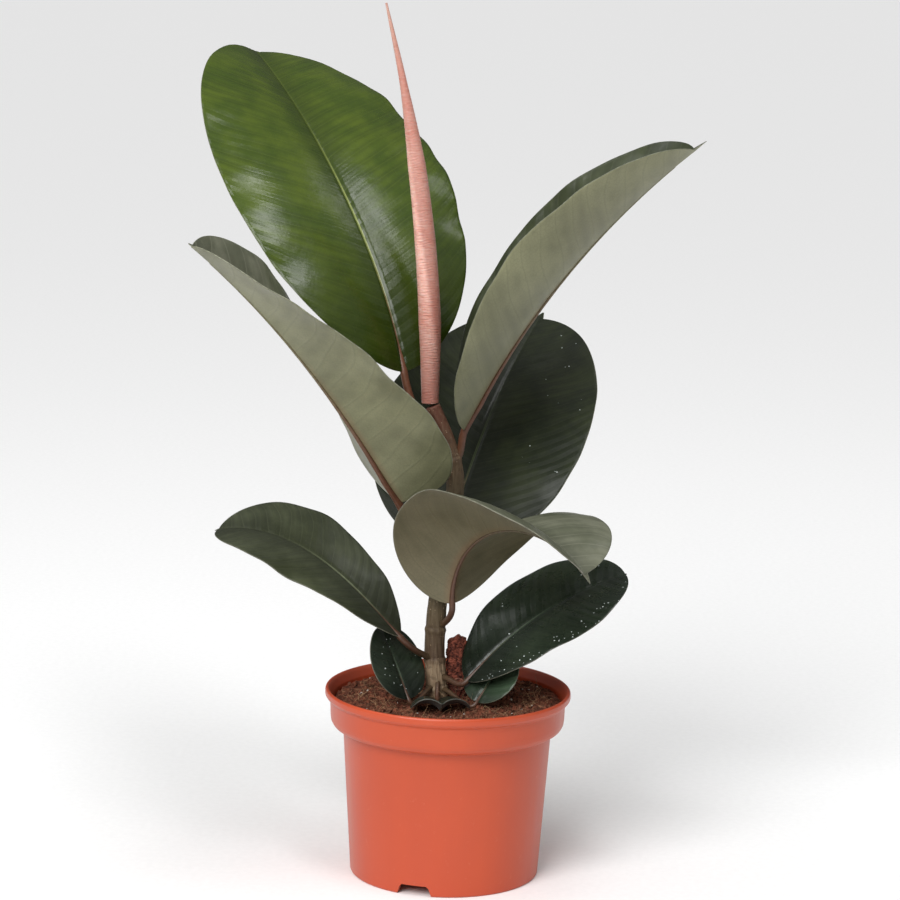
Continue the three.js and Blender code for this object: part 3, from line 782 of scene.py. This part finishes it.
# ---------------------------------------------------------------------------------------------
# Leaves: thick leathery blades, glossy and green above, dull and paler below. Each has its stalk, a
# midrib that stands out below, shallow side veins, a pale thin margin and a small drip tip.
LEAVES = {
    "leaf_1": dict(node=(-4, 0, 214), base=(-25, 5, 247), heading=135, sweep=-25, rise=75, droop=60,
                   droop_power=0.8, roll=20, twist=-30, length=225, width=120, widest=0.5, blunt=0.6,
                   fold=20, curl=-40, stalk=2.2, tip=3, vein_gap=7, pucker=0.13),
    "leaf_2": dict(node=(-4, 0, 152), base=(-26, -8, 185), heading=220, sweep=-20, rise=55, droop=15,
                   droop_power=1.5, roll=-10, twist=30, length=170, width=90, widest=0.35, blunt=0.5,
                   fold=30, curl=-10, stalk=2.3, tip=2, vein_gap=12, pucker=0.04),
    "leaf_3": dict(node=(-1, 0, 204), base=(5, 0, 220), heading=5, sweep=-15, rise=65, droop=25,
                   droop_power=1, roll=5, twist=-10, length=175, width=90, widest=0.5, blunt=0.5,
                   fold=20, curl=40, stalk=2.1, tip=7, vein_gap=11, pucker=0.05),
    "leaf_4": dict(node=(-4, 0, 148), base=(-4, 18, 156), heading=65, sweep=-5, rise=55, droop=20,
                   droop_power=1.3, roll=-10, twist=5, length=145, width=110, widest=0.5, blunt=0.5,
                   fold=10, curl=-10, stalk=2.2, tip=5, vein_gap=6, pucker=0.05),
    "leaf_5": dict(node=(-5, 0, 123), base=(1, -12, 137), heading=-50, sweep=15, rise=100, droop=145,
                   droop_power=0.8, roll=25, twist=-20, length=110, width=95, widest=0.55, blunt=0.5,
                   fold=30, curl=-30, stalk=1.8, tip=5, vein_gap=7, pucker=0.07),
    "leaf_6": dict(node=(-7, 0, 106), base=(-24, -12, 120), heading=165, sweep=-5, rise=45, droop=60,
                   droop_power=2, roll=15, twist=0, length=110, width=60, widest=0.6, blunt=0.5,
                   fold=10, curl=-10, stalk=1.8, tip=2, vein_gap=6, pucker=0.06),
    "leaf_7": dict(node=(-5, 0, 97), base=(9, -13, 99), heading=15, sweep=0, rise=50, droop=35,
                   droop_power=1, roll=-20, twist=0, length=95, width=60, widest=0.55, blunt=0.5,
                   fold=10, curl=-15, stalk=1.6, tip=0.6, vein_gap=5.5, pucker=0.05),
    "leaf_8": dict(node=(-6, 0, 92), base=(-19, -20, 91), heading=135, sweep=10, rise=60, droop=0,
                   droop_power=1, roll=0, twist=0, length=38, width=35, widest=0.5, blunt=0.5,
                   fold=10, curl=-10, stalk=1.3, tip=0.6, vein_gap=4.5, pucker=0.04),
    "leaf_9": dict(node=(-5, 0, 91), base=(14, -19, 90), heading=40, sweep=0, rise=50, droop=0,
                   droop_power=1, roll=-10, twist=0, length=30, width=30, widest=0.5, blunt=0.5,
                   fold=10, curl=-10, stalk=1.3, tip=0.6, vein_gap=4.5, pucker=0.04),
    "leaf_10": dict(node=(-5, 0, 96), base=(-5, -13, 88), heading=-85, sweep=0, rise=0, droop=-50,
                    droop_power=3, roll=0, twist=0, length=28, width=32, widest=0.6, blunt=0.3,
                    fold=50, curl=-95, stalk=1.3, tip=0.6, vein_gap=4.5, pucker=0.03),
}
BLADE_HALF = 0.42
MARGIN_SHARE = 0.6
RIB_END_SHARE = 0.93
RIB_END_RADIUS = 0.35
ROUND_TO_FACETED = 0.86
DRIP_HALF_WIDTH = 2.2
BLADE_WAVES = ((70, 0.9), (38, 0.55), (21, 0.25))
MARGIN_REACH = 0.22
STALK_FACETS, STALK_STEPS = 16, 22
UPPER, UNDER, MARGIN, STALK = range(4)


def blade_frames(leaf, share):
    """The blade's own axes at each share of its length: along, to the right, out of the upper face."""
    share = np.clip(share, 0, 1)
    heading = np.radians(leaf["heading"] + leaf["sweep"] * share)
    rise = np.radians(leaf["rise"] - leaf["droop"] * share ** leaf["droop_power"])
    along = np.stack([np.cos(rise) * np.cos(heading), np.cos(rise) * np.sin(heading), np.sin(rise)], 1)
    flat = np.stack([np.sin(heading), -np.cos(heading), np.zeros_like(heading)], 1)
    out = np.cross(flat, along)
    roll = np.radians(leaf["roll"] + leaf["twist"] * share)[:, None]
    return along, flat * np.cos(roll) + out * np.sin(roll), out * np.cos(roll) - flat * np.sin(roll)


def midrib_line(leaf, share):
    """Points of the midrib at the given shares of the blade's length."""
    fine = np.linspace(0, 1.1, 1101)
    along, _, _ = blade_frames(leaf, (fine[1:] + fine[:-1]) / 2)
    run = np.vstack([np.zeros(3), np.cumsum(along * np.diff(fine)[:, None] * leaf["length"], axis=0)])
    return np.stack([np.interp(share, fine, run[:, k]) for k in range(3)], 1) + np.array(leaf["base"], float)


def half_widths(leaf, share):
    """Half the blade's width along it, with the drip tip past the rounded end."""
    start = leaf["blunt"] * leaf["widest"] / (1 - leaf["widest"])
    peak = leaf["widest"] ** start * (1 - leaf["widest"]) ** leaf["blunt"]
    inside = np.clip(share, 1e-6, 1)
    fullness = inside ** start * (1 - inside) ** leaf["blunt"] / peak
    from_end = (share - 1) * leaf["length"]
    drip = np.where(from_end < 0, np.exp(-np.minimum(from_end, 0) ** 2 / 18),
                    np.clip(1 - from_end / leaf["tip"], 0, 1) ** 0.8)
    tip = DRIP_HALF_WIDTH * min(1, leaf["tip"] / 4) * drip
    return np.sqrt((leaf["width"] / 2 * fullness) ** 2 + tip ** 2 + 0.3 ** 2), fullness


def vein_reading(leaf, share, distance, half):
    """Counts side veins along the midrib. Each vein leans forward and bends up near the margin."""
    lean = 0.42 * distance + 0.16 * distance * (distance / np.maximum(half, 1)) ** 3
    wobble = 0.1 * np.sin(share * 19) + 0.06 * np.sin(share * 53)
    return (share * leaf["length"] - lean) / leaf["vein_gap"] + wobble


def blade_points(leaf, share, across, thickness, seed):
    """Blade points in rows of equal share: thickness is +1 on the upper face and -1 on the lower."""
    along, right, up = blade_frames(leaf, share)
    middle = midrib_line(leaf, share)
    half, fullness = half_widths(leaf, share)
    side = np.abs(across)[None, :]
    bend = np.radians(leaf["curl"]) * fullness[:, None] + 1e-6
    start = np.radians(leaf["fold"])
    angle = start + bend * side
    out = half[:, None] * (np.sin(angle) - np.sin(start)) / bend
    lift = half[:, None] * (np.cos(start) - np.cos(angle)) / bend
    distance = side * half[:, None]
    vein = vein_reading(leaf, share[:, None], distance, half[:, None])
    strength = 0.6 + 0.4 * np.sin(share[:, None] * 9 + 2 * side + seed)
    relief = leaf["pucker"] * strength * np.cos(2 * np.pi * vein)
    relief *= np.clip(distance / 5, 0, 1) * np.clip((1.04 - side) / 0.2, 0, 1)
    groove = -0.42 * np.exp(-(distance / 1.0) ** 2) + 0.2 * np.exp(-((distance - 2.4) / 1.3) ** 2)
    groove = groove * np.clip(1.12 - share, 0.1, 1)[:, None] * (thickness > 0)
    chance = np.random.default_rng(seed)
    wave = np.zeros_like(distance)
    for length, swing in BLADE_WAVES:
        phases = chance.random(2) * 2 * math.pi
        turn = 2 * np.pi * share[:, None] * leaf["length"] / length
        both = np.where(across[None, :] < 0, np.sin(turn + phases[0]), np.sin(turn + phases[1]))
        wave = wave + swing * both * side ** 2 * fullness[:, None]
    wave *= min(1, leaf["length"] / 110)
    thin = BLADE_HALF * (1 - (1 - MARGIN_SHARE) * side) * np.clip(half / 2.5, 0.35, 1)[:, None]
    height = thin * thickness + relief + groove + wave
    out_at = out - height * np.sin(angle)
    lift_at = lift + height * np.cos(angle)
    sign = np.sign(across)[None, :, None]
    points = middle[:, None, :] + right[:, None, :] * sign * out_at[..., None]
    return points + up[:, None, :] * lift_at[..., None], vein, distance


def stalk_and_rib(leaf, steps_stalk, steps_rib):
    """Centre line, radius and share along the blade of the stalk with the midrib under the blade."""
    node, base = np.array(leaf["node"], float), np.array(leaf["base"], float)
    arrival = blade_frames(leaf, np.zeros(1))[0][0]
    reach = np.linalg.norm(base - node)
    outwards = np.array([base[0] - node[0], base[1] - node[1], 0])
    outwards /= np.linalg.norm(outwards)
    outwards[2] = 0.5
    b, c = node + outwards * reach * 0.35, base - arrival * reach * 0.35
    t = np.linspace(0, 1, steps_stalk, endpoint=False)[:, None]
    stalk = (1 - t) ** 3 * node + 3 * t * (1 - t) ** 2 * b + 3 * t * t * (1 - t) * c + t ** 3 * base
    share = np.linspace(0, RIB_END_SHARE, steps_rib)
    radius = leaf["stalk"] + (RIB_END_RADIUS - leaf["stalk"]) * (share / RIB_END_SHARE) ** 0.38
    sink = np.clip(share * leaf["length"] / 14, 0, 1) * 0.75 * radius
    rib = midrib_line(leaf, share) - blade_frames(leaf, share)[2] * sink[:, None]
    line = np.vstack([stalk, rib])
    radii = np.r_[leaf["stalk"] * (1 + 0.35 * (1 - t[:, 0]) ** 6), radius] * ROUND_TO_FACETED
    return line, radii, np.r_[t[:, 0] - 1, share]


def leaf_piece(name, leaf, seed):
    """One leaf as a mesh of a closed blade and a closed stalk, with readings for the materials."""
    size = leaf["length"]
    rows = int(min(250, max(70, size * 1.25)))
    columns = int(min(44, max(20, leaf["width"] * 0.42)))
    eased = 0.5 - 0.5 * np.cos(np.linspace(0, math.pi, rows))
    share = np.r_[eased[:-1], 1 + np.linspace(0, 1, 9) * leaf["tip"] / size]
    half_across = np.linspace(0, 1, columns) ** 1.25
    across = np.r_[-half_across[::-1], half_across[1:]]
    top, vein, distance = blade_points(leaf, share, across, 1, seed)
    under, _, _ = blade_points(leaf, share, across, -1, seed)
    edge = 0.5 * (top[:, [0, -1]] + under[:, [0, -1]])
    outwards = top[:, [0, -1]] - top[:, [1, -2]]
    outwards /= np.maximum(np.linalg.norm(outwards, axis=2, keepdims=True), 1e-9)
    edge += outwards * MARGIN_REACH
    loop = np.concatenate([top, edge[:, 1:], under[:, ::-1], edge[:, :1]], axis=1)
    wide = across.size
    around = 2 * wide + 2
    readings = {key: np.concatenate([value, value[:, -1:], value[:, ::-1], value[:, :1]], 1).ravel()
                for key, value in (("vein", vein), ("rib", distance))}
    readings["along"] = np.repeat(share, around)
    points = loop.reshape(-1, 3)
    faces = ring_faces(0, len(share), around)
    slots = ([UPPER] * (wide - 1) + [MARGIN] * 2 + [UNDER] * (wide - 1) + [MARGIN] * 2) * (len(share) - 1)
    faces += [tuple(range(around))[::-1], tuple(range((len(share) - 1) * around, len(share) * around))]
    slots += [MARGIN] * 2
    line, radii, rib_share = stalk_and_rib(leaf, STALK_STEPS, max(30, rows // 3))
    facets = STALK_FACETS
    _, sideways, other = carried_frames(line)
    angles = np.linspace(0, 2 * math.pi, facets, endpoint=False)
    spokes = (np.cos(angles)[None, :, None] * sideways[:, None]
              + np.sin(angles)[None, :, None] * other[:, None])
    ripple = 1 + 0.03 * np.sin(5 * angles)[None, :] + 0.02 * np.sin(rib_share * 90)[:, None]
    tube = line[:, None] + radii[:, None, None] * ripple[..., None] * spokes
    first = len(points)
    points = np.vstack([points, tube.reshape(-1, 3), line[0], line[-1]])
    faces += ring_faces(first, len(line), facets)
    last = first + (len(line) - 1) * facets
    for i in range(facets):
        j = (i + 1) % facets
        faces.append((first + j, first + i, len(points) - 2))
        faces.append((last + i, last + j, len(points) - 1))
    slots += [STALK] * (len(faces) - len(slots))
    extra = len(points) - first
    readings["along"] = np.r_[readings["along"], np.repeat(rib_share, facets), rib_share[0], rib_share[-1]]
    for key in ("vein", "rib"):
        readings[key] = np.r_[readings[key], np.zeros(extra)]
    piece = mesh_piece(name, points, faces)
    facing_out(piece)
    for key, values in readings.items():
        layer = piece.data.attributes.new(key, "FLOAT", "POINT")
        layer.data.foreach_set("value", values.astype(np.float32))
    piece.data.polygons.foreach_set("material_index", slots)
    return piece, top


OLIVE_RIB, RIB_FOOT = (0.26, 0.30, 0.08, 1), (0.10, 0.035, 0.018, 1)
BACK_WARM, STALK_FOOT = (0.17, 0.085, 0.035, 1), (0.075, 0.06, 0.03, 1)


def toned(colour, share, lift=0.0):
    """The colour with its red, green and blue scaled and lifted."""
    return tuple(share * c + lift for c in colour[:3]) + (1,)


def upper_skin(name, bright, dark, gloss, rib_light):
    """Glossy upper skin: darker bands between the side veins and a pale midrib line."""
    skin = Finish(name)
    space = skin.object_space()
    vein = skin.math("PINGPONG", skin.reading("vein"), 0.5)
    mottle = skin.noise(space, 55, 4)
    body = skin.blend(skin.spread(mottle, 0.34, 0.68), dark, bright)
    near_rib = skin.spread(skin.reading("rib"), 0, 16, 0.5, 0)
    body = skin.blend(near_rib, body, toned(dark, 0.45))
    banded = skin.spread(skin.noise(space, 30, 3), 0.35, 0.65, 0.2, 1)
    dusky = skin.math("MULTIPLY", skin.spread(vein, 0.12, 0.42, 0.38, 0), banded)
    body = skin.blend(dusky, body, toned(dark, 0.5))
    pale = toned(bright, 1.4, 0.008)
    body = skin.blend(skin.spread(vein, 0.0, 0.05, 0.3, 0), body, pale)
    freckle = skin.noise(space, 700, 3, 0.7)
    body = skin.blend(skin.spread(freckle, 0.62, 0.76, 0, 0.22), body, pale)
    line = skin.spread(skin.reading("rib"), 0.4, 0.85, 1, 0)
    groove = skin.spread(skin.reading("rib"), 0.0, 0.3, 0.8, 0)
    fading = skin.spread(skin.reading("along"), 0.3, 0.7, 1, 0.08)
    strength = skin.math("MULTIPLY", skin.math("SUBTRACT", line, groove), fading)
    rib_tone = skin.blend(skin.spread(skin.reading("along"), 0.02, 0.2), RIB_FOOT, rib_light)
    body = skin.blend(skin.math("MAXIMUM", strength, 0.0), body, rib_tone)
    # Painted shade: the upper skin darkens towards the stalk end of the blade, next to the stem.
    painted_base_shade = skin.spread(skin.reading("along"), 0.0, 0.42, 0.72, 0)
    body = skin.blend(painted_base_shade, body, toned(dark, 0.3))
    skin.colour(body)
    ripple = skin.bump(vein, 0.35, 0.0012)
    pores = skin.bump(skin.noise(space, 1500, 2), 0.06, 0.0002, ripple)
    skin.relief(skin.bump(skin.noise(space, 90, 3), 0.25, 0.0012, pores))
    skin.roughness(skin.spread(skin.noise(space, 130, 4), 0.3, 0.7, gloss, gloss + 0.1))
    skin.set(Specular_IOR_Level=0.26, Coat_Weight=0.1, Coat_Roughness=0.16)
    return skin


def lower_skin(name, light, shade):
    """Dull underside: fine net of veins, thin side vein lines and a soft bloom."""
    skin = Finish(name)
    space = skin.object_space()
    vein = skin.math("PINGPONG", skin.reading("vein"), 0.5)
    body = skin.blend(skin.spread(skin.noise(space, 38, 4), 0.34, 0.68), shade, light)
    body = skin.blend(skin.spread(vein, 0.0, 0.07, 0.28, 0), body, toned(shade, 0.6))
    body = skin.blend(skin.spread(vein, 0.05, 0.5, 0.22, 0), body, toned(light, 1.25))
    net = skin.add("TexVoronoi", {"Scale": 620.0}, feature="DISTANCE_TO_EDGE")
    skin.join(space, net.inputs["Vector"])
    body = skin.blend(skin.spread(net.outputs["Distance"], 0.0, 0.12, 0.2, 0), body, toned(shade, 0.6))
    warm = skin.spread(skin.reading("rib"), 0.5, 5.0, 0.42, 0)
    warm = skin.math("MULTIPLY", warm, skin.spread(skin.reading("along"), 0.2, 0.75, 1, 0))
    skin.colour(skin.blend(warm, body, BACK_WARM))
    ripple = skin.bump(skin.spread(vein, 0, 0.1, 1, 0), 0.15, 0.0004)
    skin.relief(skin.bump(skin.noise(space, 900, 4, 0.6), 0.2, 0.0003, ripple))
    skin.roughness(skin.spread(skin.noise(space, 60, 3), 0.3, 0.7, 0.4, 0.52))
    skin.set(Specular_IOR_Level=0.4, Sheen_Weight=0.08, Sheen_Roughness=0.5)
    return skin


def stalk_skin(name, base_tone, end_tone):
    """Stalk and midrib: warm and streaked at the stem end, fading to the colour of the underside."""
    skin = Finish(name)
    streak = skin.noise(skin.object_space(), 420, 4, 0.65)
    fade = skin.spread(skin.reading("along"), 0.1, 0.72)
    body = skin.blend(fade, base_tone, end_tone)
    body = skin.blend(skin.spread(streak, 0.4, 0.66, 0.45, 0), body, toned(base_tone, 0.5))
    stem_end = skin.spread(skin.reading("along"), -1.0, -0.3, 0.7, 0)
    skin.colour(skin.blend(stem_end, body, STALK_FOOT))
    skin.relief(skin.bump(streak, 0.3, 0.0004))
    skin.set(Roughness=0.42, Specular_IOR_Level=0.45)
    return skin


OLIVE, OLIVE_DARK = (0.060, 0.090, 0.006, 1), (0.036, 0.062, 0.004, 1)
BOTTLE, BOTTLE_DARK = (0.024, 0.032, 0.010, 1), (0.010, 0.015, 0.005, 1)
DULL, DULL_DARK = (0.044, 0.054, 0.024, 1), (0.024, 0.031, 0.013, 1)
# The grey upper skin of leaves 2 and 5 is painted sheen: a pale reflection of the light painted over their
# green.
PAINTED_SHEEN_GREY, PAINTED_SHEEN_GREY_DARK = (0.165, 0.170, 0.120, 1), (0.095, 0.102, 0.066, 1)
# The teal of leaves 7, 8 and 10 is their dark green, lifted with painted sheen.
TEAL_WITH_SHEEN, TEAL_WITH_SHEEN_DARK = (0.030, 0.042, 0.026, 1), (0.015, 0.023, 0.014, 1)
# The jade of leaf 9 is its dark teal green, lifted much further with painted sheen.
JADE_WITH_SHEEN, JADE_WITH_SHEEN_DARK = (0.062, 0.100, 0.056, 1), (0.035, 0.058, 0.034, 1)
# The moss green of leaf 6 is its dull green, lifted with painted sheen.
MOSS_WITH_SHEEN, MOSS_WITH_SHEEN_DARK = (0.068, 0.078, 0.042, 1), (0.040, 0.047, 0.024, 1)
SAGE, SAGE_DARK = (0.200, 0.200, 0.108, 1), (0.135, 0.135, 0.070, 1)
KHAKI, KHAKI_DARK = (0.125, 0.108, 0.060, 1), (0.085, 0.075, 0.038, 1)
# The umber underside of leaf 10 is painted shade: near black, for the shadow under the leaf.
PAINTED_SHADE_UMBER, PAINTED_SHADE_UMBER_DARK = (0.030, 0.024, 0.014, 1), (0.014, 0.011, 0.007, 1)
RUST, RUST_DARK = (0.135, 0.052, 0.026, 1), (0.095, 0.043, 0.024, 1)
PALE_BACK, BROWN_BACK = (SAGE, SAGE_DARK, RUST), (KHAKI, KHAKI_DARK, RUST_DARK)
FINISHES = {
    "leaf_1": (OLIVE, OLIVE_DARK, 0.21, *PALE_BACK), "leaf_2": (PAINTED_SHEEN_GREY, PAINTED_SHEEN_GREY_DARK, 0.34, *PALE_BACK),
    "leaf_3": (DULL, DULL_DARK, 0.3, *PALE_BACK), "leaf_4": (BOTTLE, BOTTLE_DARK, 0.5, *PALE_BACK),
    "leaf_5": (PAINTED_SHEEN_GREY, PAINTED_SHEEN_GREY_DARK, 0.34, *BROWN_BACK), "leaf_6": (MOSS_WITH_SHEEN, MOSS_WITH_SHEEN_DARK, 0.34, *BROWN_BACK),
    "leaf_7": (TEAL_WITH_SHEEN, TEAL_WITH_SHEEN_DARK, 0.24, *BROWN_BACK), "leaf_8": (TEAL_WITH_SHEEN, TEAL_WITH_SHEEN_DARK, 0.26, *BROWN_BACK),
    "leaf_9": (JADE_WITH_SHEEN, JADE_WITH_SHEEN_DARK, 0.3, *BROWN_BACK),
    "leaf_10": (TEAL_WITH_SHEEN, TEAL_WITH_SHEEN_DARK, 0.26, PAINTED_SHADE_UMBER, PAINTED_SHADE_UMBER_DARK, RUST_DARK),
}
blade_tops = {}
for number, (node_name, leaf) in enumerate(LEAVES.items(), start=1):
    above, above_dark, gloss, below, below_dark, rib_tone = FINISHES[node_name]
    piece, blade_tops[node_name] = leaf_piece(f"{node_name}_skin", leaf, 40 + number)
    rib_light = OLIVE_RIB if above is OLIVE else toned(above, 2.2, 0.012)
    rim_tone = tuple(0.5 * a + 0.5 * b + 0.06 for a, b in zip(above[:3], below[:3])) + (1,)
    upper_skin(f"{node_name}_upper", above, above_dark, gloss, rib_light).wear(piece)
    lower_skin(f"{node_name}_under", below, below_dark).wear(piece)
    mottled(f"{node_name}_margin", (500, 3), (0.35, 0.65), (toned(rim_tone, 0.6), rim_tone),
            Roughness=0.4, Specular_IOR_Level=0.4).wear(piece)
    stalk_skin(f"{node_name}_stalk", rib_tone, below).wear(piece)
    carries(piece, [node_name])

# Water specks: dried drops on leaves 4, 7 and 8, thickest along the lower margin of leaf 7. Each row
# gives the leaf, where the specks begin and end across the blade, and how many lie on a square metre.
SPECKS = (("leaf_7", 0.72, 0.98, 60000.0), ("leaf_7", -0.8, 0.7, 3600.0), ("leaf_8", -0.8, 0.9, 16000.0),
          ("leaf_4", 0.5, 0.95, 7000.0))
SPECKS_FROM, SPECKS_TO = 0.12, 0.86
DROP_GREY, DROP_WHITE = (0.34, 0.40, 0.38, 1), (0.75, 0.8, 0.78, 1)
droplet = mottled("dried_drops", (2600, 3), (0.35, 0.65), (DROP_GREY, DROP_WHITE),
                  Roughness=0.3, Specular_IOR_Level=0.6)
drop = pebble("drop_pattern", (1, 0.85, 0.3), 0.25, 31)
for number, (node_name, inner, outer, density) in enumerate(SPECKS, start=1):
    rows, wide = blade_tops[node_name].shape[:2]
    columns = np.linspace(-1, 1, wide)
    chosen = [c for c in range(wide - 1) if inner <= columns[c] <= outer]
    low, high = int(rows * SPECKS_FROM), int(rows * SPECKS_TO)
    points = blade_tops[node_name].reshape(-1, 3)
    faces = [(r * wide + c, r * wide + c + 1, (r + 1) * wide + c + 1, (r + 1) * wide + c)
             for r in range(low, high) for c in chosen]
    ground = mesh_piece("drop_ground", points, faces)
    specks = scattered(f"{node_name}_drops_{number}", FLAT, ground, droplet, Shape=drop,
                       Per_square_metre=density, Smallest=0.00012, Largest=0.0005, Seed=32 + number)
    bpy.data.objects.remove(ground)
    carries(specks, [])
bpy.data.objects.remove(drop)

# ---------------------------------------------------------------------------------------------
# Stage: a pale floor, soft studio light and a camera a little above the plant.
FLOOR_REACH = 60.0
PAPER_DARK, PAPER_LIGHT = (0.92, 0.92, 0.92, 1), (0.95, 0.95, 0.95, 1)
SUN_POWER, SUN_SPREAD, SUN_AIM = 2.5, 35, (0.5, 1.0, -0.85)
CAMERA_PLACE, CAMERA_LENS, SENSOR_WIDTH = (-0.0019, -1.5, 0.48), 126.4, 36
PITCH_DOWN, CLOCKWISE = 10.2, 1.4

floor_mesh = bpy.data.meshes.new("floor")
corners = [(FLOOR_REACH * x, FLOOR_REACH * y, 0) for x, y in ((-1, -1), (1, -1), (1, 1), (-1, 1))]
floor_mesh.from_pydata(corners, [], [(0, 1, 2, 3)])
floor = placed("floor", floor_mesh)
paper = mottled("studio_paper", (300, 4), (0.3, 0.7), (PAPER_DARK, PAPER_LIGHT), Roughness=0.8)
paper.wear(floor)


def aimed(direction):
    """The turn that points a lamp along the direction."""
    return Vector(direction).to_track_quat("-Z", "Y").to_euler()


def soft_light(name, place, aim, size, power):
    lamp = bpy.data.lights.new(name, "AREA")
    lamp.shape, lamp.size, lamp.size_y = "RECTANGLE", size[0], size[1]
    lamp.energy = power
    holder = placed(name, lamp)
    holder.location = place
    holder.rotation_euler = aimed(Vector(aim) - Vector(place))


soft_light("overhead_softbox", (0.17, -0.5, 1.5), (0.02, -0.1, 0.3), (0.26, 0.75), 6.5)
soft_light("left_strip", (-0.75, 0.2, 1.25), (0, 0, 0.25), (0.3, 0.5), 1.6)
soft_light("right_strip", (0.75, 0.5, 1.35), (-0.05, 0, 0.15), (0.15, 0.4), 0.7)
sunlight = bpy.data.lights.new("front_window", "SUN")
sunlight.energy, sunlight.angle = SUN_POWER, math.radians(SUN_SPREAD)
placed("front_window", sunlight).rotation_euler = aimed(SUN_AIM)
world = bpy.data.worlds.new("studio")
world.use_nodes = True
sky = world.node_tree


def sky_ramp(source, low, high, to_low, to_high):
    """Goes smoothly from to_low to to_high while the source goes from low to high."""
    made = sky.nodes.new("ShaderNodeMapRange")
    made.interpolation_type = "SMOOTHSTEP"
    for key, number in (("From Min", low), ("From Max", high), ("To Min", to_low), ("To Max", to_high)):
        made.inputs[key].default_value = number
    sky.links.new(source, made.inputs["Value"])
    return made.outputs[0]


facing = sky.nodes.new("ShaderNodeTexCoord")
axes = sky.nodes.new("ShaderNodeSeparateXYZ")
sky.links.new(facing.outputs["Generated"], axes.inputs[0])
strength = sky.nodes.new("ShaderNodeMath")
strength.operation = "MULTIPLY"
sky.links.new(sky_ramp(axes.outputs["Z"], 0.15, 0.95, 0.24, 0.6), strength.inputs[0])
sky.links.new(sky_ramp(axes.outputs["Y"], -0.1, 0.8, 1, 0.4), strength.inputs[1])
sky.links.new(strength.outputs[0], sky.nodes["Background"].inputs["Strength"])
sky.nodes["Background"].inputs["Color"].default_value = (1, 1, 1, 1)
bpy.context.scene.world = world
bpy.context.scene.view_settings.view_transform = "Standard"

lens = bpy.data.cameras.new("viewer")
lens.lens, lens.sensor_width = CAMERA_LENS, SENSOR_WIDTH
camera = placed("viewer", lens)
tipped = Matrix.Rotation(math.radians(90 - PITCH_DOWN), 4, "X")
spun = Matrix.Rotation(math.radians(CLOCKWISE), 4, "Z")
camera.matrix_world = Matrix.Translation(CAMERA_PLACE) @ tipped @ spun
bpy.context.scene.camera = camera
